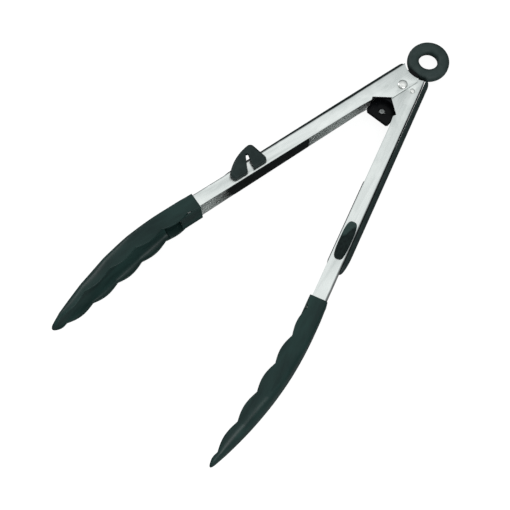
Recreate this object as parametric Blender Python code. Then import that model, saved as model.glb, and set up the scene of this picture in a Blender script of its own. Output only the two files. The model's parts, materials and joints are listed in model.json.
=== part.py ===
"""Spring loaded kitchen tongs with nylon heads, lying on their side with the jaws open.

Every piece is built in the frame of the pivot: +X runs along the line midway between the arms, from the
pivot to the jaws, +Z runs along the pivot rivet.  A piece of an arm is built along that arm: u runs from
the pivot to the tip, v points away from the other arm.  All of it hangs from one empty, which leans the
tongs until the two heads and the rivet touch the table.
"""
import bpy
import bmesh
from math import atan2, cos, pi, radians, sin, sqrt
from mathutils import Matrix, Vector

MM = 0.001
FIT = 0.3 * MM                # gap between pieces that touch

# opening of the arms
HALF_ANGLE = radians(15.6)    # each arm from the middle line, jaws open

# arms: folded steel channels, open towards each other
STEEL = 0.8 * MM              # sheet thickness
BACK = 13.0 * MM              # outside of the channel's back, from the pivot line
FLANGE_EDGE = 3.4 * MM        # free edge of the flanges along the grip
EAR_EDGE = -4.0 * MM          # free edge of the wide ears round the pivot
EAR_LENGTH = 11.5 * MM        # where the ear starts to narrow
EAR_TAPER = 11.4 * MM         # length of the narrowing
NICK = 1.6 * MM               # depth of the nick after the narrowing
REAR_END = -13.0 * MM         # rear end of the channels
ARM_WIDE = 18.1 * MM          # width of the channels at the heads
JOINT_WIDE = 12.8 * MM        # width of the outer channel at the pivot
PARALLEL = 34.0 * MM          # the channels stay parallel to here, then widen
COLLAR = 167.0 * MM           # where the heads start
TANG = 15.0 * MM              # length of channel inside a head
BEND = 1.2 * MM               # outside radius of the folds

# windows of the finger pads
PAD_AT = 123.0 * MM
WINDOW_LONG = 26.0 * MM
WINDOW_TALL = 6.0 * MM
PAD_LIP = 1.1 * MM            # pad beyond its window, all round
PAD_RISE = 1.5 * MM           # pad above the flange
PAD_V = 8.5 * MM              # middle of the windows

# thumb rest, a slotted fin on one side of the upper arm
THUMB_TOP = 21.4 * MM
THUMB_DEEP = 4.2 * MM
THUMB_PEGS = (PAD_AT - 8.5 * MM, PAD_AT + 9.0 * MM)   # two round pegs hold it

# rubber strip on the back of each arm, and the rubber core in its channel
STRIP_END = 144.0 * MM
STRIP_RISE = 3.1 * MM
STRIP_HALF = 6.0 * MM
CORE_START = 77.0 * MM
CORE_END = 143.0 * MM
CORE_EDGE = 2.8 * MM         # stands just proud of the flanges
CORE_SLANT = 40.0 * MM        # length of the sloping rear face

# pivot
RIVET_R = 2.5 * MM
RIVET_HEAD_R = 3.3 * MM
RIVET_DOME = 1.5 * MM
SPACER_WALL = 0.8 * MM
ANCHOR_R = 1.1 * MM
ANCHOR_HEAD_R = 1.7 * MM
ANCHOR_U = 1.3 * MM
ANCHOR_V = 7.9 * MM

# torsion spring
WIRE = 1.0 * MM
COIL_R = 4.7 * MM
COIL_TURNS = 3
COIL_PITCH = 1.15 * MM
LEG_X = 19.0 * MM
LEG_Y = 10.8 * MM

# lock: a slider pulled out by its ring
LOCK_TRAVEL = 8.0 * MM
SLIDER_FRONT = 28.2 * MM
SLIDER_HALF = 9.6 * MM
PLATE_THICK = 2.8 * MM
SHOULDER_FRONT = -6.0 * MM
TAIL_HALF = 3.6 * MM
TONGUE_HALF = 2.0 * MM
DECK = -1.0 * MM              # top of the slider's front, deep between the ears
DECK_THICK = 1.7 * MM
DECK_WALL = 1.8 * MM          # step between the plate and the deck
PIN_RISE = 0.5 * MM           # pin above the deck
PIN_R = 2.0 * MM
PIN_AT = 22.3 * MM
RING_AT = -29.0 * MM
RING_SIDE = 1.6 * MM          # the ring sits a little off its tail
RING_R = 15.0 * MM
RING_HOLE_R = 6.7 * MM
RING_TALL = 8.8 * MM
EAR_SCOOP = 3.5 * MM          # the ears are cut back in an arc, this far in front of the ring

# heads: nylon scoops with scalloped rims
HEAD_LONG = 125.0 * MM
HEAD_END = COLLAR + HEAD_LONG
HEAD_HALF = 17.6 * MM
HEAD_WIDEST = COLLAR + 68.0 * MM
HEAD_WALL = 0.95 * MM         # over the steel
LIP = 1.7 * MM                # width of the rim
SCOOP = 4.6 * MM              # depth of the face below the nicks in the rim
SCOOP_START = COLLAR + TANG + 12.0 * MM
SCALLOP = 21.3 * MM
SCALLOP_DEEP = 2.0 * MM
SCALLOP_FIRST = COLLAR + 8.7 * MM

PEG_R = 2.2 * MM
ROUND = 28                    # facets of a round piece

# widths that follow from the sizes above
OUTER_HALF = JOINT_WIDE / 2
INNER_HALF = OUTER_HALF - STEEL - FIT
ROOM = INNER_HALF - STEEL     # half of the room between the inner flanges
PAD_LONG = WINDOW_LONG / 2 + PAD_LIP
PAD_TALL = WINDOW_TALL / 2 + PAD_LIP
SPACER_IN = RIVET_R + FIT
SPACER_OUT = SPACER_IN + SPACER_WALL
RIVET_TOP = OUTER_HALF + FIT + RIVET_DOME
PLATE_LOW = ROOM - FIT - PLATE_THICK


# ---------------------------------------------------------------- helpers

def clear_scene():
    for old in list(bpy.data.objects):
        bpy.data.objects.remove(old, do_unlink=True)


def finish(name, color, roughness, metallic=0.0):
    material = bpy.data.materials.new(name)
    material.use_nodes = True
    shader = material.node_tree.nodes["Principled BSDF"]
    shader.inputs["Base Color"].default_value = (*color, 1.0)
    shader.inputs["Roughness"].default_value = roughness
    shader.inputs["Metallic"].default_value = metallic
    return material


def steel(name):
    return finish(name, (0.72, 0.73, 0.73), 0.24, 1.0)


def rubber(name):
    return finish(name, (0.022, 0.032, 0.032), 0.55)


def nylon(name):
    return finish(name, (0.025, 0.042, 0.042), 0.42)


def add_object(name, mesh_or_bm, material, parent, turn=0.0):
    """Put a bmesh into the scene as one named object on its parent."""
    mesh = bpy.data.meshes.new(name)
    bmesh.ops.recalc_face_normals(mesh_or_bm, faces=mesh_or_bm.faces)
    mesh_or_bm.to_mesh(mesh)
    mesh_or_bm.free()
    mesh.shade_smooth()
    mesh.set_sharp_from_angle(angle=radians(32))
    piece = bpy.data.objects.new(name, mesh)
    bpy.context.scene.collection.objects.link(piece)
    piece.data.materials.append(material)
    piece.parent = parent
    piece.rotation_euler.z = turn
    return piece


def cut(piece, cutter_bm, turn=0.0, operation="DIFFERENCE"):
    """Cut a piece with a hidden wire object, or join that object to it."""
    name = f"tool_{len(piece.modifiers)}_{piece.name}"
    cutter = add_object(name, cutter_bm, finish(name, (1, 0, 0), 0.5), piece.parent, turn)
    cutter.hide_render = True
    cutter.display_type = "WIRE"
    modifier = piece.modifiers.new(name, "BOOLEAN")
    modifier.object = cutter
    modifier.operation = operation
    modifier.solver = "EXACT"


def arc(center, radius, start, end, steps):
    """Points of a round stretch, from one angle to another."""
    return [(center[0] + radius * cos(start + (end - start) * k / steps),
             center[1] + radius * sin(start + (end - start) * k / steps)) for k in range(steps + 1)]


def ellipse(center, half_long, half_tall, steps):
    return [(center[0] + half_long * cos(2 * pi * k / steps),
             center[1] + half_tall * sin(2 * pi * k / steps)) for k in range(steps)]


def smooth(value):
    value = min(1.0, max(0.0, value))
    return value * value * (3 - 2 * value)


def plate(outline, low, high, side=1):
    """Closed prism over an outline in the plane of the arms."""
    bm = bmesh.new()
    bottom = [bm.verts.new((x, side * y, low)) for x, y in outline]
    top = [bm.verts.new((x, side * y, high)) for x, y in outline]
    bm.faces.new(bottom)
    bm.faces.new(top)
    count = len(outline)
    for k in range(count):
        n = (k + 1) % count
        bm.faces.new((bottom[k], bottom[n], top[n], top[k]))
    bmesh.ops.recalc_face_normals(bm, faces=bm.faces)
    return bm


def loft(sections):
    """Closed skin over equal rings of points, with both ends capped."""
    bm = bmesh.new()
    rings = [[bm.verts.new(point) for point in section] for section in sections]
    count = len(rings[0])
    for first, second in zip(rings, rings[1:]):
        for k in range(count):
            n = (k + 1) % count
            bm.faces.new((first[k], first[n], second[n], second[k]))
    bm.faces.new(rings[0])
    bm.faces.new(rings[-1])
    return bm


def lathe(profile, steps=ROUND):
    """Turn a closed profile of (radius, z) points about Z."""
    bm = bmesh.new()
    rings = []
    for k in range(steps):
        angle = 2 * pi * k / steps
        rings.append([bm.verts.new((r * cos(angle), r * sin(angle), z)) for r, z in profile])
    count = len(profile)
    for k in range(steps):
        for p in range(count):
            q = (p + 1) % count
            bm.faces.new((rings[k][p], rings[(k + 1) % steps][p], rings[(k + 1) % steps][q], rings[k][q]))
    bmesh.ops.remove_doubles(bm, verts=bm.verts, dist=1e-7)
    bmesh.ops.dissolve_degenerate(bm, dist=1e-8, edges=bm.edges)
    return bm


def rod(radius, low, high, at=(0.0, 0.0), steps=ROUND):
    return plate(ellipse(at, radius, radius, steps), low, high)


def half_width(u, start):
    """Half the outside width of a channel, which is `start` at the pivot."""
    grow = min(1.0, max(0.0, (u - PARALLEL) / (COLLAR - PARALLEL)))
    return start + (ARM_WIDE / 2 - start) * grow


# ---------------------------------------------------------------- arms

def flange_outline():
    """Side view of a channel: wide ear at the pivot, narrowing, nick, then a straight flange."""
    corner = 4.0 * MM
    ear_end = EAR_LENGTH + EAR_TAPER
    points = arc((REAR_END + corner, EAR_EDGE + corner), corner, pi, 1.5 * pi, 6)
    points += [(EAR_LENGTH, EAR_EDGE), (ear_end, FLANGE_EDGE + NICK * 0.7)]
    points += [(ear_end + 1.8 * MM, FLANGE_EDGE - NICK * 0.3), (ear_end + 12 * MM, FLANGE_EDGE)]
    points += [(COLLAR + TANG, FLANGE_EDGE), (COLLAR + TANG, BACK), (REAR_END, BACK)]
    return points


def widening_prism(outline, start, inset, side, radius):
    """Prism whose width follows the channel's, with the two folds at the back rounded."""
    bm = plate(outline, -1.0, 1.0, side)
    for station in (PARALLEL, COLLAR):
        geometry = bm.verts[:] + bm.edges[:] + bm.faces[:]
        bmesh.ops.bisect_plane(bm, geom=geometry, plane_co=(station, 0, 0), plane_no=(1, 0, 0))
    for vert in bm.verts:
        vert.co.z *= half_width(vert.co.x, start) - inset
    back = max(side * vert.co.y for vert in bm.verts)
    folds = [edge for edge in bm.edges
             if all(abs(side * v.co.y - back) < 1e-6 for v in edge.verts)
             and edge.verts[0].co.z * edge.verts[1].co.z > 0
             and abs(edge.verts[0].co.x - edge.verts[1].co.x) > 1e-6]
    bmesh.ops.bevel(bm, geom=folds, offset=radius, segments=4, profile=0.5, affect="EDGES")
    return bm


def channel(name, side, start, parent):
    turn = side * HALF_ANGLE
    arm = add_object(name, widening_prism(flange_outline(), start, 0.0, side, BEND), steel(name), parent, turn)
    inside = BACK - STEEL
    reach = 10 * MM
    low = EAR_EDGE - reach
    trough = [(REAR_END - reach, low), (COLLAR + TANG + reach, low),
              (COLLAR + TANG + reach, inside), (REAR_END - reach, inside)]
    cut(arm, widening_prism(trough, start, STEEL, side, BEND - STEEL), turn)
    if side > 0:
        window = ellipse((PAD_AT, PAD_V), WINDOW_LONG / 2, WINDOW_TALL / 2, ROUND)
        cut(arm, plate(window, -ARM_WIDE, ARM_WIDE, side), turn)
    else:
        window = ellipse((PAD_AT, PAD_V), WINDOW_LONG / 2, WINDOW_TALL / 2, ROUND)
        cut(arm, plate(window, -ARM_WIDE, 0.0, side), turn)
        for station in THUMB_PEGS:
            hole = ellipse((station, PAD_V), WINDOW_TALL / 2, WINDOW_TALL / 2, ROUND)
            cut(arm, plate(hole, 0.0, ARM_WIDE, side), turn)
    cut(arm, rod(RIVET_R + FIT, -ARM_WIDE, ARM_WIDE), turn)
    peg_hole = rod(PEG_R + FIT, -reach, reach, steps=20)
    bmesh.ops.rotate(peg_hole, verts=peg_hole.verts, matrix=Matrix.Rotation(pi / 2, 3, "X"))
    bmesh.ops.translate(peg_hole, verts=peg_hole.verts, vec=(COLLAR + TANG / 2, side * (BACK + reach / 4), 0))
    cut(arm, peg_hole, turn)
    cut(arm, rod(RING_R + FIT, -ARM_WIDE, ARM_WIDE, at=(RING_AT + EAR_SCOOP, RING_SIDE), steps=64))
    if side > 0:
        cut(arm, rod(ANCHOR_R + FIT, -ARM_WIDE, ARM_WIDE, at=(ANCHOR_U, ANCHOR_V), steps=20), turn)
    return arm


# ---------------------------------------------------------------- heads

def head_back(u):
    """Outside of a head's back: level over the steel, then curving in towards the other arm."""
    crest = BACK + FIT + HEAD_WALL + 0.3 * MM
    bend_start = COLLAR + 15 * MM
    reach = HEAD_END - bend_start
    tip = head_rim_line(HEAD_END) + 1.9 * MM
    drop = crest - tip
    level = crest - 0.3 * MM * (1 - smooth((u - COLLAR) / (12 * MM)))
    return level - drop * max(0.0, (u - bend_start) / reach) ** 2.15


def head_rim_line(u):
    """Line through the nicks between the scallops."""
    start = FLANGE_EDGE + 0.5 * MM
    reach = HEAD_END - SCALLOP_FIRST
    return start - 15.3 * MM * max(0.0, (u - SCALLOP_FIRST) / reach) ** 1.5


def head_rim(u):
    """Rim edge: convex scallops that meet in sharp nicks."""
    fade = smooth((u - COLLAR) / (10 * MM)) * smooth((HEAD_END - u) / (8 * MM))
    wave = abs(sin(pi * (u - SCALLOP_FIRST) / SCALLOP))
    collar_lip = 1.3 * MM * (1 - smooth((u - COLLAR) / (8 * MM)))
    return head_rim_line(u) - fade * SCALLOP_DEEP * wave - collar_lip


def head_half(u):
    """Half width of the rim: a collar that flares into a leaf with a rounded tip."""
    collar_half = ARM_WIDE / 2 + FIT + HEAD_WALL
    if u > HEAD_WIDEST:
        share = (u - HEAD_WIDEST) / (HEAD_END - HEAD_WIDEST)
        return HEAD_HALF * sqrt(max(0.0, 1 - share * share))
    return collar_half + (HEAD_HALF - collar_half) * smooth((u - COLLAR - 3 * MM) / (HEAD_WIDEST - COLLAR))


def head_squareness(u):
    """Boxy over the sheet, softer towards the tip."""
    soft = min(1.0, max(0.0, (u - COLLAR - 10 * MM) / (90 * MM)))
    return 2.6 + 8.7 * (1 - soft) ** 2


def squared_arc(half, depth, power, base, steps):
    """Quarter of a squared ellipse, from the middle of the back to the rim."""
    points = []
    for k in range(steps + 1):
        angle = 0.5 * pi * k / steps
        points.append((half * sin(angle) ** (2 / power), base + depth * cos(angle) ** (2 / power)))
    return points


def head_section(u, steps=6):
    """Ring of (z, v) points round the U of a head at one station."""
    rim = head_rim(u)
    half = head_half(u)
    outer = squared_arc(half, head_back(u) - rim, head_squareness(u), rim, steps)
    lip = min(LIP, half * 0.3)
    if u < SCOOP_START:
        wall_z = ARM_WIDE / 2 + FIT
        floor = BACK + FIT
        inner = [(wall_z, rim + (floor - 0.5 * MM - rim) * k / (steps - 2)) for k in range(steps - 1)]
        inner += [(wall_z - 0.5 * MM, floor), (0.0, floor)]
    else:
        floor = head_rim_line(u) + SCOOP * smooth((HEAD_END - u) / (70 * MM)) + 0.3 * MM
        deep = min(floor - rim, (head_back(u) - rim) * 0.6)
        inner = squared_arc(half - lip, deep, 2.4, rim, steps)[::-1]
    near = outer + inner
    far = [(-z, v) for z, v in near[1:-1]][::-1]
    return near + far


def head_stations():
    """Stations along a head, closest at the nicks and at the tip."""
    stations = [COLLAR, COLLAR + 4 * MM]
    nick = SCALLOP_FIRST
    while nick < HEAD_END:
        shares = (0.0, 0.06, 0.16, 0.3, 0.5, 0.7, 0.84, 0.94)
        stations += [nick + SCALLOP * share for share in shares if nick + SCALLOP * share < HEAD_END - 6 * MM]
        nick += SCALLOP
    stations += [SCOOP_START - 0.1 * MM, SCOOP_START + 1.5 * MM]
    stations += [HEAD_END - gap * MM for gap in (4.6, 3.2, 2.0, 1.1, 0.45, 0.1)]
    stations = sorted(set(stations))
    return [a for a, b in zip(stations, stations[1:] + [1.0]) if b - a > 0.2 * MM or b - a < 0] or stations


def head(name, side, parent):
    """Scoop with a socket round the end of the channel, and a web that closes the socket's mouth."""
    sections = [[(u, side * v, z) for z, v in head_section(u)] for u in head_stations()]
    piece = add_object(name, loft(sections), nylon(name), parent, side * HALF_ANGLE)
    web = [(COLLAR, FLANGE_EDGE - FIT), (COLLAR + TANG + 1 * MM, FLANGE_EDGE - FIT),
           (COLLAR + TANG + 1 * MM, FLANGE_EDGE - FIT - HEAD_WALL), (COLLAR, FLANGE_EDGE - FIT - HEAD_WALL)]
    wide = ARM_WIDE / 2 + FIT + HEAD_WALL / 2
    cut(piece, plate(web, -wide, wide, side), side * HALF_ANGLE, "UNION")
    peg = rod(PEG_R, -1.5 * MM, 1.5 * MM, steps=20)
    bmesh.ops.rotate(peg, verts=peg.verts, matrix=Matrix.Rotation(pi / 2, 3, "X"))
    bmesh.ops.translate(peg, verts=peg.verts, vec=(COLLAR + TANG / 2, side * (BACK - 0.6 * MM), 0))
    cut(piece, peg, side * HALF_ANGLE, "UNION")
    return piece


# ---------------------------------------------------------------- rubber of the arms

def back_strip(name, side, start, parent):
    """Crowned rubber strip on the back of an arm, with rounded ends."""
    base = BACK + FIT
    first = REAR_END + 0.6 * MM
    stations = 26
    sections = []
    for k in range(stations + 1):
        angle = pi * k / stations
        u = first + (STRIP_END - first) * (1 - cos(angle)) / 2
        front = min(1.0, (u - first) / (5 * MM))
        rear = min(1.0, (STRIP_END - u) / (16 * MM))
        size = max(0.12, sqrt(max(0.0, 1 - (1 - front) ** 2)) * sqrt(max(0.0, 1 - (1 - rear) ** 2)))
        half = min(STRIP_HALF, half_width(u, start) - 0.6 * MM) * (0.35 + 0.65 * size)
        crown = arc((0, 0), 1.0, 0.0, pi, 12)
        sections.append([(u, side * (base + STRIP_RISE * size * y), half * x) for x, y in crown])
    strip = add_object(name, loft(sections), rubber(name), parent, side * HALF_ANGLE)
    cut(strip, rod(RING_R + FIT, -ARM_WIDE, ARM_WIDE, at=(RING_AT, RING_SIDE), steps=64))
    return strip


def grip_core(name, side, start, parent):
    """Rubber block that fills the channel behind the finger pads."""
    top = BACK - STEEL - FIT
    outline = [(CORE_START, CORE_EDGE + 0.8 * MM), (CORE_START + 1.5 * MM, CORE_EDGE),
               (CORE_END - 3 * MM, CORE_EDGE), (CORE_END, CORE_EDGE + 1.5 * MM), (CORE_END, top - 1 * MM),
               (CORE_END - 1 * MM, top), (CORE_START + CORE_SLANT, top)]
    bm = plate(outline, -1.0, 1.0, side)
    for vert in bm.verts:
        vert.co.z *= half_width(vert.co.x, start) - STEEL - FIT
    return add_object(name, bm, rubber(name), parent, side * HALF_ANGLE)


def plug(start, side, face):
    """Oval plug through a window, from inside the flange out to its face."""
    outline = ellipse((PAD_AT, PAD_V), WINDOW_LONG / 2 - FIT, WINDOW_TALL / 2 - FIT, ROUND)
    wall = half_width(PAD_AT, start)
    bm = plate(outline, (wall - STEEL) * face, (wall + PAD_RISE / 2) * face, side)
    return bm


def slope_to_flange(bm, start, face):
    """Shift a piece in Z so that it keeps its height above the slanting flange."""
    for vert in bm.verts:
        vert.co.z += face * (half_width(vert.co.x, start) - half_width(PAD_AT, start))


def finger_pad(name, side, start, face, parent):
    """Oval rubber pad: a domed cap on the flange and a plug through the window."""
    wall = half_width(PAD_AT, start)
    rings = []
    for share, rise in ((1.0, FIT), (1.0, FIT + 0.5 * MM), (0.93, PAD_RISE * 0.85), (0.8, PAD_RISE)):
        long_half = PAD_LONG - (1 - share) * PAD_TALL
        rings.append([(x, side * y, face * (wall + rise))
                      for x, y in ellipse((PAD_AT, PAD_V), long_half, PAD_TALL * share, ROUND)])
    bm = loft(rings)
    slope_to_flange(bm, start, face)
    pad = add_object(name, bm, rubber(name), parent, side * HALF_ANGLE)
    stem = plug(start, side, face)
    slope_to_flange(stem, start, face)
    cut(pad, stem, side * HALF_ANGLE, "UNION")
    return pad


def thumb_outline():
    """Side view of the fin: steep towards the pivot, sloping towards the head."""
    front = PAD_AT - PAD_LONG + 2.0 * MM
    rear = PAD_AT + PAD_LONG + 1.2 * MM
    foot = PAD_V - PAD_TALL + 0.6 * MM
    points = arc((front + 2.6 * MM, foot + 2.6 * MM), 2.6 * MM, 1.5 * pi, 0.97 * pi, 5)
    points += arc((front + 5.6 * MM, THUMB_TOP - 3.4 * MM), 3.4 * MM, 0.95 * pi, 0.45 * pi, 5)
    brow = (PAD_AT + 7 * MM, THUMB_TOP - 1.9 * MM)
    start = points[-1]
    heel = (rear, foot + 5.2 * MM)
    for k in range(1, 9):
        t = k / 8
        points.append(tuple(start[n] * (1 - t) ** 2 + 2 * brow[n] * t * (1 - t) + heel[n] * t * t for n in (0, 1)))
    points += arc((rear - 3.4 * MM, foot + 3.4 * MM), 3.4 * MM, 0.0, -0.5 * pi, 6)
    return points


def thumb_rest(name, side, start, parent):
    wall = half_width(PAD_AT, start)
    fin = plate(thumb_outline(), wall + FIT, wall + FIT + THUMB_DEEP, side)
    rim = [edge for edge in fin.edges if edge.verts[0].co.z > wall + FIT * 2 and edge.verts[1].co.z > wall + FIT * 2]
    bmesh.ops.bevel(fin, geom=rim, offset=1.2 * MM, segments=3, profile=0.5, affect="EDGES")
    slope_to_flange(fin, start, 1)
    rest = add_object(name, fin, rubber(name), parent, side * HALF_ANGLE)
    turn = side * HALF_ANGLE
    for station in THUMB_PEGS:
        peg = ellipse((station, PAD_V), WINDOW_TALL / 2 - FIT, WINDOW_TALL / 2 - FIT, ROUND)
        stem = plate(peg, wall - STEEL, wall + THUMB_DEEP / 2, side)
        slope_to_flange(stem, start, 1)
        cut(rest, stem, turn, "UNION")
    slot_low = PAD_V - PAD_TALL - 1 * MM
    slot = [(PAD_AT - 0.4 * MM, slot_low), (PAD_AT + 5.2 * MM, slot_low),
            (PAD_AT - 1.6 * MM, THUMB_TOP - 4.9 * MM), (PAD_AT - 3.2 * MM, THUMB_TOP - 5.2 * MM)]
    cut(rest, plate(slot, wall + STEEL, wall + 2 * THUMB_DEEP, side), turn)
    return rest


# ---------------------------------------------------------------- pivot

def rivet(name, radius, head_radius, seat, dome, parent, steps=24):
    """Round rivet with a dome at both ends, its heads resting outside `seat`."""
    top = [(0.0, seat + dome)]
    for k in range(1, 4):
        angle = 0.5 * pi * k / 3
        top.append((head_radius * sin(angle), seat + dome * cos(angle)))
    profile = top + [(radius, seat)] + [(radius, -seat)] + [(r, -z) for r, z in reversed(top)]
    return add_object(name, lathe(profile, steps), steel(name), parent)


def pivot_spacer(name, parent):
    reach = ROOM - FIT
    profile = [(SPACER_IN, reach), (SPACER_OUT, reach), (SPACER_OUT, -reach), (SPACER_IN, -reach)]
    return add_object(name, lathe(profile), steel(name), parent)


def torsion_spring(name, parent):
    """Wire coil round the spacer with two straight legs that reach towards the arms' backs."""
    bottom = WIRE / 2 + FIT - ROOM
    per_turn = 20
    start = 0.5 * pi
    sweep = 2 * pi * COIL_TURNS + pi
    steps = int(per_turn * sweep / (2 * pi))
    points = [(LEG_X, LEG_Y, bottom)]
    lean = atan2(LEG_Y - COIL_R, LEG_X)
    for k in range(steps + 1):
        angle = start + lean + (sweep - 2 * lean) * k / steps
        height = bottom + COIL_PITCH * (COIL_TURNS + 0.5) * k / steps
        points.append((COIL_R * cos(angle), COIL_R * sin(angle), height))
    points.append((LEG_X, -LEG_Y, bottom + COIL_PITCH * (COIL_TURNS + 0.5)))
    curve = bpy.data.curves.new(name, "CURVE")
    curve.dimensions = "3D"
    curve.bevel_depth = WIRE / 2
    curve.bevel_resolution = 2
    curve.use_fill_caps = True
    spline = curve.splines.new("POLY")
    spline.points.add(len(points) - 1)
    for spot, point in zip(spline.points, points):
        spot.co = (*point, 1.0)
    spring = bpy.data.objects.new(name, curve)
    bpy.context.scene.collection.objects.link(spring)
    curve.materials.append(steel(name))
    spring.parent = parent
    return spring


# ---------------------------------------------------------------- lock

def lock_slider(name, parent):
    """Nylon slider: a plate round the pivot spacer, a block in the V of the arms, a tail to the ring."""
    shoulder = (BACK - STEEL) * cos(HALF_ANGLE) + REAR_END * sin(HALF_ANGLE) - FIT
    waist = ANCHOR_V - ANCHOR_R - 2 * FIT
    waist_end = LOCK_TRAVEL + ANCHOR_U + ANCHOR_R + FIT
    tail_end = RING_AT + RING_HOLE_R + 2.5 * MM
    shoulder_rear = REAR_END
    half = [(tail_end, TAIL_HALF), (shoulder_rear, TAIL_HALF), (shoulder_rear + 1 * MM, shoulder),
            (SHOULDER_FRONT, shoulder), (SHOULDER_FRONT + 1 * MM, waist), (waist_end, waist),
            (waist_end + 5 * MM, SLIDER_HALF), (SLIDER_FRONT - 1.2 * MM, SLIDER_HALF),
            (SLIDER_FRONT, SLIDER_HALF - 1.2 * MM)]
    outline = half + [(x, -y) for x, y in reversed(half)]
    top = ROOM - FIT
    piece = add_object(name, plate(outline, PLATE_LOW, top), nylon(name), parent)
    block_rear = LOCK_TRAVEL + COIL_R + WIRE / 2 + FIT
    block = [(block_rear, 4.4 * MM), (SLIDER_FRONT - 1.2 * MM, SLIDER_HALF - 0.3 * MM),
             (SLIDER_FRONT, SLIDER_HALF - 1.4 * MM)]
    block += [(x, -y) for x, y in reversed(block)]
    cut(piece, plate(block, -top, PLATE_LOW + 1 * MM), 0.0, "UNION")
    wings = [(block_rear, SLIDER_HALF - 1.6 * MM), (block_rear + 3 * MM, SLIDER_HALF),
             (SLIDER_FRONT - 1.2 * MM, SLIDER_HALF), (SLIDER_FRONT, SLIDER_HALF - 1.2 * MM)]
    wings += [(x, -y) for x, y in reversed(wings)]
    cut(piece, plate(wings, DECK - DECK_THICK, DECK + 0.4 * MM), 0.0, "UNION")
    tail = [(tail_end, TAIL_HALF - 0.05 * MM), (SHOULDER_FRONT, TAIL_HALF - 0.05 * MM)]
    tail += [(x, -y) for x, y in reversed(tail)]
    cut(piece, plate(tail, -TONGUE_HALF, PLATE_LOW + 1 * MM), 0.0, "UNION")
    above = [(tail_end - 5 * MM, 20 * MM), (shoulder_rear - 1.5 * MM, 20 * MM),
             (shoulder_rear - 1.5 * MM, -20 * MM), (tail_end - 5 * MM, -20 * MM)]
    cut(piece, plate(above, TONGUE_HALF, 20 * MM))
    deck = [(block_rear + DECK_WALL, 20 * MM), (SLIDER_FRONT + 5 * MM, 20 * MM),
            (SLIDER_FRONT + 5 * MM, -20 * MM), (block_rear + DECK_WALL, -20 * MM)]
    cut(piece, plate(deck, DECK, 20 * MM))
    slot_r = SPACER_OUT + FIT
    slot = arc((0, 0), slot_r, 0.5 * pi, 1.5 * pi, 12)
    slot += arc((LOCK_TRAVEL, 0), slot_r, -0.5 * pi, 0.5 * pi, 12)
    cut(piece, plate(slot, -20 * MM, 20 * MM))
    cut(piece, rod(PIN_R + FIT, -20 * MM, 20 * MM, at=(PIN_AT, 0), steps=24))
    return piece


def lock_pin(name, parent):
    low = FIT - ROOM
    high = DECK + PIN_RISE
    edge = 0.4 * MM
    profile = [(0.0, high), (PIN_R - edge, high), (PIN_R, high - edge),
               (PIN_R, low + edge), (PIN_R - edge, low), (0.0, low)]
    pin = add_object(name, lathe(profile, 24), steel(name), parent)
    pin.location.x = PIN_AT
    return pin


def pull_ring(name, parent):
    """Rubber ring with flat faces and round edges, and a pocket for the slider's tail."""
    tall = RING_TALL / 2
    middle = (RING_R + RING_HOLE_R) / 2
    flat = 1.1 * MM
    outside = arc((middle + flat, 0), 1.0, -0.5 * pi, 0.5 * pi, 7)
    radial_out = RING_R - middle - flat
    radial_in = middle - flat - RING_HOLE_R
    profile = [(middle + flat + radial_out * (x - middle - flat), tall * y) for x, y in outside]
    inside = arc((middle - flat, 0), 1.0, 0.5 * pi, 1.5 * pi, 6)
    profile += [(middle - flat + radial_in * (x - middle + flat), tall * y) for x, y in inside]
    ring = add_object(name, lathe(profile, 48), rubber(name), parent)
    ring.location = (RING_AT, RING_SIDE, 0.0)
    pocket_end = RING_AT + RING_HOLE_R + 2.5 * MM - FIT
    half = TAIL_HALF + FIT
    pocket = [(pocket_end, half), (pocket_end + 20 * MM, half),
              (pocket_end + 20 * MM, -half), (pocket_end, -half)]
    cut(ring, plate(pocket, -TONGUE_HALF - FIT, TONGUE_HALF + FIT))
    return ring


# ---------------------------------------------------------------- the whole

def settle(root, pieces):
    """Lean the tongs on to the rivet and both heads, and put the origin under the middle."""
    reach = HEAD_WIDEST * cos(HALF_ANGLE)
    lean = atan2(HEAD_HALF - RIVET_TOP, reach)
    root.rotation_euler.y = -lean
    bpy.context.view_layer.update()
    depsgraph = bpy.context.evaluated_depsgraph_get()
    corners = []
    for piece in pieces:
        shape = piece.evaluated_get(depsgraph)
        mesh = shape.to_mesh()
        corners += [shape.matrix_world @ vert.co for vert in mesh.vertices]
        shape.to_mesh_clear()
    low = Vector(min(c[axis] for c in corners) for axis in range(3))
    high = Vector(max(c[axis] for c in corners) for axis in range(3))
    root.location = (-(low.x + high.x) / 2, -(low.y + high.y) / 2, -low.z)


def main():
    clear_scene()
    root = bpy.data.objects.new("lying_pose", None)
    bpy.context.scene.collection.objects.link(root)
    pieces = []
    for arm, side, start in (("lower", 1, INNER_HALF), ("upper", -1, OUTER_HALF)):
        pieces.append(channel(f"{arm}_arm_channel", side, start, root))
        pieces.append(head(f"{arm}_head", side, root))
        pieces.append(back_strip(f"{arm}_back_grip", side, start, root))
        pieces.append(grip_core(f"{arm}_grip_core", side, start, root))
        pieces.append(finger_pad(f"{arm}_pad_far", side, start, -1, root))
    pieces.append(finger_pad("lower_pad_near", 1, INNER_HALF, 1, root))
    pieces.append(thumb_rest("thumb_rest", -1, OUTER_HALF, root))
    pieces.append(rivet("pivot_rivet", RIVET_R, RIVET_HEAD_R, OUTER_HALF + FIT, RIVET_DOME, root))
    anchor = rivet("spring_anchor", ANCHOR_R, ANCHOR_HEAD_R, INNER_HALF + FIT, 0.6 * MM, root, 16)
    anchor.location = Matrix.Rotation(HALF_ANGLE, 3, "Z") @ Vector((ANCHOR_U, ANCHOR_V, 0.0))
    pieces.append(anchor)
    pieces.append(pivot_spacer("pivot_spacer", root))
    pieces.append(torsion_spring("torsion_spring", root))
    pieces.append(lock_slider("lock_slider", root))
    pieces.append(lock_pin("lock_pin", root))
    pieces.append(pull_ring("pull_ring", root))
    settle(root, pieces)


main()
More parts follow.
